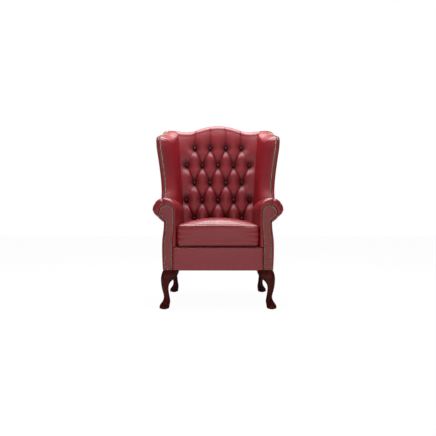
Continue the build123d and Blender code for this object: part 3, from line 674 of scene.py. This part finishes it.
def on_wing_pad(share_back, share_up):
    tuck = max(share_back - 0.9, 0) / 0.1
    along = min(share_back / 0.9, 1) ** 1.7
    rise = 1 - (1 - share_up) ** 1.6
    foot = -0.045
    low_front, low_rear = (wing_front(foot), foot), (meeting(foot)[0], foot)
    high_front, high_rear = (0, front_high), (meeting(wing_high)[0] + rear_reach, wing_high)
    bottom = (low_front[0] + (low_rear[0] - low_front[0]) * along, foot)
    top_back = high_rear[0] * along
    top = (top_back, wing_top(top_back))
    front_up = foot + (front_high - foot) * rise
    front = (wing_front(front_up), front_up)
    rear_up = foot + (wing_high - foot) * rise
    rear = (meeting(rear_up)[0] + rear_reach * rise ** 3, rear_up)
    spot = []
    for axis in (0, 1):
        value = (1 - rise) * bottom[axis] + rise * top[axis] + (1 - along) * front[axis]
        value = value + along * rear[axis]
        value -= (1 - along) * (1 - rise) * low_front[axis] + along * (1 - rise) * low_rear[axis]
        value -= (1 - along) * rise * high_front[axis] + along * rise * high_rear[axis]
        spot.append(value)
    back, up = spot
    skin = 0.034 + (meeting(up)[1] - 0.034) * along + 0.011 * 4 * along * (1 - along)
    round_off = 0.082 - 0.046 * along
    full = (1 - (1 - min(gap_to((back, up), wing_line) / round_off, 1)) ** 2.6) ** 0.55
    point = on_wing(back, up, -edge_turn + (skin + edge_turn) * full)
    point.z = max(point.z, min(on_roll(point.x) - 0.012, wing_rest_z))
    point.y += 0.040 * tuck * full
    point.x -= 0.003 * tuck
    # painted shade where the wing's leather tucks in against the back, strongest low down
    return point, 0.5 * tuck * (1 - rise ** 3)


wing_sheet = lay_sheet(64, 110, on_wing_pad)
turn_out(wing_sheet, Vector((-0.6, front_y + 0.62, 0.8)))
stuff_out(wing_sheet, pad_thick)
keep_pair(wing_sheet, "wing_leather", "wing_inner_pad", fill=0.75)


# %% The leather outside each wing
def wing_rear(up):
    """How far back along the wing its outside meets the outside back."""
    rear = 0.5889 + (wing_root.z + 0.993 * up - deck_z) * math.tan(rake)
    return (rear - 0.4377 - 0.025 * up) / 0.978


def on_wing_back(share_back, share_up):
    along = share_back ** 1.5
    rise = 1 - (1 - share_up) ** 1.5
    foot = -0.040
    front = wing_front(foot + (front_high - foot) * rise)
    back = front + (wing_rear(foot + (wing_high - foot) * rise) - front) * along
    up = foot + (wing_top(max(back, 0)) - foot) * rise
    full = rolled(gap_to((back, up), wing_line), 0.026)
    point = on_wing(back, up, -outside_turn - outside_swell * full)
    point.z = max(point.z, min(on_roll(point.x) - 0.010, wing_rest_z))
    return point, 0


outer_sheet = lay_sheet(48, 90, on_wing_back)
turn_out(outer_sheet, Vector((0, front_y + 0.62, 0.8)))
stuff_out(outer_sheet, pad_thick)
keep_pair(outer_sheet, "wing_outside", "wing_outer_panel", fill=0.4)

# %% [markdown]
# ## The scroll arms
# Each arm is a stuffed roll over a rail. The leather comes up inside the arm, over the roll and
# under it, and at the front it is gathered in pleats round the facing board. One sheet does all of
# that: it starts at the facing, runs out over the rounded end, and then back along the arm. A
# cylinder with a cap would leave a hard rim where the real leather turns softly.

# %% The section of the arm and the facing's outline
facing_x, facing_z, facing_radius = -0.278, 0.515, 0.041
facing_flat, facing_slant = 0.0334, 225
facing_inner = batten(
    [(0.20, -0.245), (0.36, -0.245), (0.40, -0.2412), (0.445, -0.237), (0.52, -0.237)]
)
facing_outer = batten(
    [(0.20, -0.290), (0.36, -0.290), (0.40, -0.2862), (0.445, -0.281), (0.48, -0.281)]
)


def flattened(radius, flat, slant, turn):
    """How far a round form reaches where its underside is drawn flat by the leather."""
    towards = math.cos(turn - math.radians(slant))
    if towards < 0.1:
        return radius
    return (radius ** -18 + (flat / towards) ** -18) ** (-1 / 18)


arm_turn = math.radians(263)
arm_roll_run = roll_radius * arm_turn
arm_foot_z = 0.333
arm_side_run = roll_z - arm_foot_z
inner_x = -0.222


def arm_section(share):
    """A place on the arm's section, the way out from it, and its place on the facing."""
    way = share * (arm_roll_run + arm_side_run)
    if way < arm_roll_run:
        turn = arm_turn - way / roll_radius
        outward = Vector((math.cos(turn), 0, math.sin(turn)))
        skin = Vector((roll_x, 0, roll_z)) + outward * flattened(roll_radius, 0.0545, 226, turn)
        hem_reach = flattened(facing_radius, facing_flat, facing_slant, turn) - 0.0015
        hem = Vector((facing_x, 0, facing_z)) + outward * hem_reach
        return skin, outward, hem, turn
    down = way - arm_roll_run
    skin = Vector((inner_x, 0, roll_z - down))
    hem_z = facing_z - down * (facing_z - arm_foot_z) / arm_side_run
    hem = Vector((facing_inner(hem_z) - 0.0015, 0, hem_z))
    return skin, Vector((1, 0, 0)), hem, 0


print("the arm's leather is", round(arm_roll_run + arm_side_run, 3), "m round")


# %% The leather of each arm
gathers = [math.radians(angle) for angle in (104, 146, 190, 226)]
end_round = 0.0285


def on_arm(share_round, share_along):
    skin, outward, hem, turn = arm_section(share_round)
    gather = min([abs(turn - place) * 0.055 for place in gathers] + [1.0])
    if share_along < 0.2:
        angle = share_along / 0.2 * math.pi / 2
        out = math.sin(angle)
        point = hem + (skin - hem) * out
        lift = 0.0035 + 0.025 * (1 - math.cos(angle)) ** 1.15 + 0.007 * math.exp(-out / 0.10)
        fade = 1.0
    else:
        run = (share_along - 0.2) / 0.8
        point = skin.copy()
        rear = back_run + (skin.z - deck_z) * math.tan(rake)
        rear += 0.0395 if skin.x < -0.262 else -0.004
        lift = end_round + (rear - end_round) * run
        swell = math.exp(-((lift - 0.20) / 0.22) ** 2)
        if skin.z > 0.46:
            point = point + outward * (0.002 * swell)
        fade = math.exp(-(lift - end_round) / 0.035)
    crease = 0.0032 * math.exp(-gather / 0.0035) * fade
    point = point - outward * crease
    point.y = front_y + lift + crease
    # painted shade along the gathered pleats round the facing
    return point, 0.8 * math.exp(-gather / 0.0018) * fade


arm_sheet = lay_sheet(112, 90, on_arm)
turn_out(arm_sheet, Vector((-0.285, front_y + 0.3, 0.50)))
stuff_out(arm_sheet, panel_thick)
keep_pair(arm_sheet, "arm_leather", "arm_pad", fill=0.8)

# %% [markdown]
# ## The facings
# The facing is a keyhole board covered in leather, close-nailed round its edge. It starts as one
# face with the keyhole outline. Insetting that face in small steps, each a little further forward,
# gives the soft padded edge. A bevel on a solid would round it too, but evenly, like plastic.

# %% A facing from one inset face
outline = []
for step in range(34):
    z = base_z + (0.4705 - base_z) * step / 33
    outline.append((facing_outer(z), z))
for step in range(1, 52):
    turn = math.radians(258 * (1 - step / 52))
    reach = flattened(facing_radius, facing_flat, facing_slant, turn)
    outline.append((facing_x + reach * math.cos(turn), facing_z + reach * math.sin(turn)))
for step in range(40):
    z = facing_z + (base_z - facing_z) * step / 39
    outline.append((facing_inner(z), z))
facing = bmesh.new()
facing.verts.layers.float.new("fold")
rim = [facing.verts.new((x, front_y + 0.012, z)) for x, z in outline]
face = facing.faces.new(rim)
facing.normal_update()
if face.normal.y > 0:
    face.normal_flip()
walls = bmesh.ops.extrude_face_region(facing, geom=[face])["geom"]
top_points = [item for item in walls if isinstance(item, bmesh.types.BMVert)]
bmesh.ops.translate(facing, verts=top_points, vec=(0, -0.0065, 0))
top_face = [item for item in walls if isinstance(item, bmesh.types.BMFace)]
soft_steps = [
    (0.0006, 0.0007), (0.0008, 0.0005), (0.0014, 0.0004), (0.002, 0.0003), (0.003, 0.0003),
    (0.004, 0.0003),
]
for width, rise in soft_steps:
    bmesh.ops.inset_region(facing, faces=top_face, thickness=width, depth=0, use_even_offset=True)
    bmesh.ops.translate(facing, verts=top_face[0].verts[:], vec=(0, -rise, 0))
bmesh.ops.recalc_face_normals(facing, faces=facing.faces)
keep_pair(facing, "arm_face", "arm_facing", fill=0.5)

# %% [markdown]
# ## Flat panels
# The outside of each arm, the outside back and the front border are leather over thin wadding,
# pulled tight on the frame. They are almost flat, with edges that turn in and a slight swell in
# the middle, so each is a grid with a rolled rim. A box would show flat sides and sharp corners.


# %% Outside of the arms
side_front = 0.0095
side_out = batten([
    (0.2, 0.2975), (0.24, 0.2998), (0.30, 0.3015), (0.36, 0.3008), (0.40, 0.2968),
    (0.43, 0.2935), (0.47, 0.292),
])


def on_arm_side(share_along, share_up):
    z = base_z + (0.470 - base_z) * share_up
    rear = 0.589 + max(z - deck_z, 0) * math.tan(rake)
    y = side_front + (rear - side_front) * share_along ** 1.3
    full = rolled(min(y - side_front, rear - y, z - base_z + 0.004), 0.013)
    middle = math.sin(math.pi * share_up) * math.sin(math.pi * share_along) ** 0.5
    edge = 0.0005 - facing_outer(z) if share_along < 0.5 else 0.2895
    return Vector((-edge - (side_out(z) - edge) * full - 0.002 * middle, front_y + y, z)), 0


side_sheet = lay_sheet(90, 44, on_arm_side)
turn_out(side_sheet, Vector((0, front_y + 0.3, 0.33)))
stuff_out(side_sheet, panel_thick)
keep_pair(side_sheet, "arm_side", "arm_outer_panel", fill=0.3)


# %% The outside back
waist, shoulder = 0.311, 0.351


def back_half(z):
    """Half the width of the outside back at a height."""
    line = half_base if z < 0.5 else waist + (shoulder - waist) * (z - 0.600) / 0.440
    off = abs(z - roll_z)
    roll = -roll_x + math.sqrt(roll_radius ** 2 - off ** 2) if off < roll_radius else 0
    if z > 0.5 and z < 0.6:
        line = half_base + (waist - half_base) * (z - 0.5) / 0.1
    return max(line, roll)


def on_outside_back(share_across, share_up):
    side = share_across * 2 - 1
    top = crest_z - 0.012
    z = base_z + (top - base_z) * share_up
    half = back_half(min(z, 1.04))
    x = half * side
    corner = min(max((abs(x) - 0.235) / 0.05, 0), 1)
    fall = crest_drop * crest_fall(abs(x) / half_top) - 0.015 * corner ** 2 * (3 - 2 * corner)
    z = base_z + (top - fall - base_z) * share_up
    rim_gap = min(half - abs(x), (top - fall - z), z - base_z + 0.003)
    full = rolled(max(rim_gap, 0), 0.012)
    middle = math.sin(math.pi * share_up) * (1 - side * side)
    y = back_run + 0.036 + 0.003 + 0.005 * full + 0.003 * middle
    y += max(z - deck_z + 0.003, 0) * math.tan(rake)
    return Vector((x, front_y + y, z)), 0


rear_sheet = lay_sheet(110, 150, on_outside_back)
turn_out(rear_sheet, Vector((0, front_y, 0.6)))
stuff_out(rear_sheet, panel_thick)
keep(rear_sheet, "outside_back", "root", "leather", pad_leather, ["outside_back_panel"], fill=0.3)


# %% The front border
border_low, border_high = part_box("front_border")


def on_border(share_across, share_up):
    x = border_low.x + (border_high.x - border_low.x) * share_across
    way = share_up * (border_high.z - border_low.z + 0.012)
    height = border_high.z - border_low.z
    if way <= height - 0.006:
        z, y = border_low.z + way, 0.0
    else:
        over = (way - height + 0.006) / 0.018
        angle = over * math.pi / 2
        z = border_high.z - 0.006 + 0.006 * math.sin(angle)
        y = 0.013 * (1 - math.cos(angle))
    edge = min(x - border_low.x, border_high.x - x)
    y += 0.004 * (1 - rolled(edge, 0.008)) + 0.003 * (1 - rolled(z - border_low.z, 0.006))
    y -= 0.004 * math.sin(math.pi * share_up) * math.sin(math.pi * share_across) ** 0.5
    return Vector((x, front_y + 0.0015 + y, z)), 0


border_sheet = lay_sheet(110, 36, on_border)
turn_out(border_sheet, Vector((0, front_y + 0.3, 0.27)))
stuff_out(border_sheet, panel_thick)
keep(border_sheet, "front_leather", "root", "leather", pad_leather, ["front_border"], fill=0.4)

# %% [markdown]
# ## The seat cushion
# The loose cushion is a boxed case: a top and a bottom panel sewn to a border all round, stuffed
# with a foam block. The seams hold their line while the panels swell between them. A cube is cut
# into a grid and bowed into a crowned box with round upright corners. Points could be pushed about
# until it looks stuffed, but cloth blown up by a short simulation pulls itself between its edges.

# %% The cushion's case
case_side = 0.2215
case_low = Vector((-case_side, front_y + 0.0045, deck_z + 0.001))
case_high = Vector((case_side, front_y + 0.4775, deck_z + 0.1115))
case_middle, case_half = (case_low + case_high) / 2, (case_high - case_low) / 2
crown_height = 0.037
front_bow = 0.0045
corner_round = 0.017


def crown_at(x, y):
    """How far the top of the case stands over its seams at a place on it."""
    across = min(abs(x - case_middle.x) / case_half.x, 1)
    along = min(abs(y - case_middle.y) / case_half.y, 1)
    return crown_height * (1 - across ** 2.1) * (1 - along ** 6)


def plan_gap(x, y):
    """How far a place on the case lies inside its upright walls."""
    over_x = abs(x - case_middle.x) - case_half.x + corner_round
    over_y = abs(y - case_middle.y) - case_half.y + corner_round
    return corner_round - math.hypot(max(over_x, 0), max(over_y, 0)) - min(max(over_x, over_y), 0)


case = bmesh.new()
bmesh.ops.create_cube(case, size=1)
for axis, cuts in ((0, 63), (1, 69), (2, 17)):
    runs = []
    for edge in case.edges:
        if abs(edge.verts[0].co[axis] - edge.verts[1].co[axis]) > 0.5:
            runs.append(edge)
    bmesh.ops.subdivide_edges(case, edges=runs, cuts=cuts, use_grid_fill=True)
for point in case.verts:
    spot = case_middle + Vector([share * 2 * half for share, half in zip(point.co, case_half)])
    over = Vector((abs(spot.x - case_middle.x), abs(spot.y - case_middle.y))) - Vector(
        (case_half.x - corner_round, case_half.y - corner_round)
    )
    if over.x > 0 and over.y > 0:
        shrink = max(over.x, over.y) / over.length
        spot.x -= math.copysign(over.x * (1 - shrink), spot.x - case_middle.x)
        spot.y -= math.copysign(over.y * (1 - shrink), spot.y - case_middle.y)
    spot.z += crown_at(spot.x, spot.y) * (point.co.z + 0.5)
    if point.co.y < -0.49:
        spot.y -= front_bow * (1 - 4 * point.co.z ** 2) * (1 - (point.co.x * 2) ** 8)
    point.co = spot
bmesh.ops.recalc_face_normals(case, faces=case.faces)
print("the case has", len(case.faces), "faces")


# %% [markdown]
# The case is first cut into even small faces, so that the cloth creases alike everywhere. Air
# pressure swells it for twenty frames. No point may move further than a cap, the moves are evened
# out with their neighbours', and only a share of each is taken, because a firm foam block lets the
# cover swell little. The walls may only move outward, since the foam stands behind them. The seams
# are pressed in afterwards, because even faces would blur them.

# %% Blow up the case
swell_cap = 0.008
swell_share = 0.55
cloth_frames = 20


def settled(shape, modifier, settings):
    """The mesh that a shape has once a modifier has worked on it."""
    sample = added("sample", shape)
    worked = sample.modifiers.new("work", modifier)
    for name, value in settings.items():
        setattr(worked, name, value)
    if modifier == "CLOTH":
        cloth = worked.settings
        cloth.quality, cloth.mass = 6, 0.3
        cloth.tension_stiffness = cloth.compression_stiffness = 30
        cloth.bending_stiffness = 1.5
        cloth.use_pressure, cloth.uniform_pressure_force = True, 4
        cloth.effector_weights.gravity = 0
        worked.point_cache.frame_start, worked.point_cache.frame_end = 1, cloth_frames
        for frame_number in range(1, cloth_frames + 1):
            bpy.context.scene.frame_set(frame_number)
    seen = sample.evaluated_get(bpy.context.evaluated_depsgraph_get())
    result = bpy.data.meshes.new_from_object(seen)
    bpy.data.objects.remove(sample)
    return result


case_shape = bpy.data.meshes.new("case")
case.to_mesh(case_shape)
case.free()
even_shape = settled(case_shape, "REMESH", {"mode": "VOXEL", "voxel_size": 0.006})
evened = bmesh.new()
evened.from_mesh(even_shape)
all_axes = {"use_axis_x": True, "use_axis_y": True, "use_axis_z": True}
for _ in range(5):
    bmesh.ops.smooth_vert(evened, verts=evened.verts, factor=0.5, **all_axes)
evened.to_mesh(even_shape)
evened.free()
blown_shape = settled(even_shape.copy(), "CLOTH", {})
bpy.context.scene.frame_set(1)
cushion_mesh = bmesh.new()
cushion_mesh.from_mesh(even_shape)
rest = cushion_mesh.verts.layers.float_vector.new("rest")
moves = [blown.co - point.co for point, blown in zip(cushion_mesh.verts, blown_shape.vertices)]
print("the cloth has moved by up to", round(max(move.length for move in moves) * 1000, 1), "mm")
moves = [move * min(1, swell_cap / max(move.length, 1e-9)) for move in moves]
cushion_mesh.verts.ensure_lookup_table()
around = []
for point in cushion_mesh.verts:
    around.append([edge.other_vert(point).index for edge in point.link_edges])
for _ in range(4):
    moves = [sum([moves[index] for index in near], Vector()) / len(near) for near in around]
for point, move in zip(cushion_mesh.verts, moves):
    point[rest] = point.co
    if plan_gap(point.co.x, point.co.y) < 0.02:
        move.x = math.copysign(max(move.x * math.copysign(1, point.co.x), 0), point.co.x)
        move.y = min(move.y, 0) if point.co.y < case_middle.y else max(move.y, 0)
    point.co += move * swell_share

# %% [markdown]
# Each point keeps its place from before the simulation in an attribute, so that the seams can be
# found again on the swollen case. A finer surface is made, the seams are drawn in round the top and
# the bottom and darkened with painted shade, and slack leather near the front corners gets a few
# soft ripples. At the end every point is kept between the arms, in front of the back and on the
# platform.

# %% Press in the seams
seam_in = 0.0065
fine_shape = bpy.data.meshes.new("fine")
cushion_mesh.to_mesh(fine_shape)
cushion_mesh.free()
fine_shape = settled(fine_shape, "SUBSURF", {"levels": 1, "render_levels": 1})
cushion_mesh = bmesh.new()
cushion_mesh.from_mesh(fine_shape)
cushion_mesh.normal_update()
rest = cushion_mesh.verts.layers.float_vector["rest"]
fold_layer = cushion_mesh.verts.layers.float.new("fold")
for point in cushion_mesh.verts:
    x, y, z = point[rest]
    wall = max(plan_gap(x, y), 0)
    top = max(case_high.z + crown_at(x, y) - z, 0)
    low = max(z - case_low.z, 0)
    seam = min(math.hypot(wall, top), math.hypot(wall, low))
    press = 0.0016 * math.exp(-((seam - seam_in) / 0.0026) ** 2)
    press -= 0.0012 * math.exp(-(seam / 0.003) ** 2)
    from_corner = case_half.x - abs(x - case_middle.x) - 0.03
    corner = math.hypot(from_corner, 0.4 * (z - case_middle.z) + 0.008)
    if y < case_low.y + 0.02:
        over = z - case_low.z
        wave = math.sin(over * 225 + 9 * x) + 0.25 * math.sin(over * 390 - 17 * x)
        press += 0.0013 * wave * math.exp(-((corner / 0.062) ** 2))
    point.co -= point.normal * press
    # painted shade along the pressed-in seams
    point[fold_layer] = 0.35 * math.exp(-((seam - seam_in) / 0.0018) ** 2)
    point.co.x = min(max(point.co.x, -case_side), case_side)
    point.co.y = min(max(point.co.y, front_y - 0.002), front_y + 0.4805)
    point.co.z = max(point.co.z, deck_z + 0.0006)
print("the cushion has", len(cushion_mesh.faces), "faces")

# %% Keep the cushion
keep(
    cushion_mesh, "seat_cushion", "cushion", "cushion_leather", seat_leather,
    ["cushion_cover", "cushion_core"], fill=0.85,
)

# %% [markdown]
# ## The dust cover
# A thin black cloth closes the underside, stapled to the rails and cut round the legs. It hangs
# a few millimetres in the middle. A grid with its corners cut away and a shallow sag is enough.

# %% The sagging dust cover
cover_low, cover_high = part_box("dust_cover")
cover = bmesh.new()
bmesh.ops.create_grid(cover, x_segments=56, y_segments=58, size=0.5)
middle, size = (cover_low + cover_high) / 2, cover_high - cover_low
for point in cover.verts:
    sag = 0.006 * (1 - (point.co.x * 2) ** 2) * (1 - (point.co.y * 2) ** 2)
    x, y = middle.x + point.co.x * size.x, middle.y + point.co.y * size.y
    point.co = Vector((x, y, cover_high.z - 0.0004 - sag))
leg_clear = 0.0835
corners = [
    face for face in cover.faces
    if abs(face.calc_center_median().x - middle.x) > size.x / 2 - leg_clear
    and abs(face.calc_center_median().y - middle.y) > size.y / 2 - leg_clear
]
bmesh.ops.delete(cover, geom=corners, context="FACES")
turn_out(cover, Vector((0, middle.y, 1)))
cut_area = sum(face.calc_area() for face in cover.faces)
stuff_out(cover, 0.0006)
dust_sheet = keep(cover, "dust_sheet", "root", "dust_cloth", dust_cloth, ["dust_cover"])

# %% [markdown]
# ## Floor, light and camera
# The chair stands on a pale floor in a white studio. A bright white world would be simpler, but it
# would light the leather from all sides. So the white is only what the camera sees, and the light
# comes from a dim sky, a wide lamp above for what faces up, and a weaker one in front for what
# stands upright. The camera is level, at about the height of the arms' scrolls.


# %% The floor and the backdrop
def studio_rays(start):
    """One for rays that should see the white studio."""
    seen = start.node("ShaderNodeLightPath", out="Is Camera Ray")
    clear = start.node("ShaderNodeLightPath", out="Is Transmission Ray")
    return start.sum_of("MAXIMUM", seen, clear)


floor_finish, floor_start, floor_place = new_finish("studio_floor")
floor_speck = floor_start.node("ShaderNodeTexNoise", {}, {"Vector": floor_place, "Scale": 3})
floor_colour = tint(floor_start, floor_speck, (0.86, 0.86, 0.86, 1), (0.88, 0.88, 0.88, 1))
floor_matte = floor_start.node("ShaderNodeBsdfDiffuse", {}, {"Color": floor_colour})
floor_white = floor_start.node("ShaderNodeEmission", {}, {"Color": (1, 1, 1, 1), "Strength": 1.0})
floor_share = studio_rays(floor_start) * 0.97
floor_mix = floor_start.node(
    "ShaderNodeMixShader", {}, {"Fac": floor_share, 1: floor_matte, 2: floor_white}
)
floor_start.node("ShaderNodeOutputMaterial", {}, {"Surface": floor_mix})
ground = bmesh.new()
bmesh.ops.create_grid(ground, x_segments=2, y_segments=2, size=9)
floor_shape = bpy.data.meshes.new("floor")
ground.to_mesh(floor_shape)
ground.free()
floor_shape.materials.append(floor_finish)
floor = added("floor", floor_shape)
floor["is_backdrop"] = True
world = bpy.data.worlds.new("studio")
bpy.context.scene.world = world
world.use_nodes = True
world.node_tree.nodes.clear()
sky = Strand(world.node_tree)
sky_colour = tint(sky, studio_rays(sky), (0.31, 0.31, 0.315, 1), (1, 1, 1, 1))
backdrop = sky.node("ShaderNodeBackground", {}, {"Color": sky_colour, "Strength": 1.0})
sky.node("ShaderNodeOutputWorld", {}, {"Surface": backdrop})
print("floor and studio are up")


# %% Lamps and camera
def lamp(name, place, aim, width, height, power):
    light = bpy.data.lights.new(name, "AREA")
    light.shape = "RECTANGLE"
    light.size, light.size_y, light.energy = width, height, power
    holder = added(name, light)
    holder.location = place
    holder.rotation_euler = (Vector(aim) - Vector(place)).to_track_quat("-Z", "Y").to_euler()


lamp("over", (0, 0.1, 2.6), (0, -0.1, 0.7), width=1.6, height=1.9, power=127)
lamp("front", (0, -3.5, 0.85), (0, 0, 0.6), width=2.2, height=1.2, power=20)
camera = bpy.data.cameras.new("camera")
camera.lens = 40.4
camera.sensor_width = 36
camera.shift_y = -3 / 436
eye = added("camera", camera)
eye.location = (0, frame_low.y - 2.60, 0.504)
eye.rotation_euler = (math.pi / 2, 0, 0)
bpy.context.scene.camera = eye
bpy.context.scene.view_settings.view_transform = "Standard"
print("the camera stands", round(-eye.location.y, 3), "m in front")

# %% Check the size
low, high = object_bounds()
print("low side moved by", [round(a - b, 4) for a, b in zip(low, frame_low)])
print("high side moved by", [round(a - b, 4) for a, b in zip(high, frame_high)])
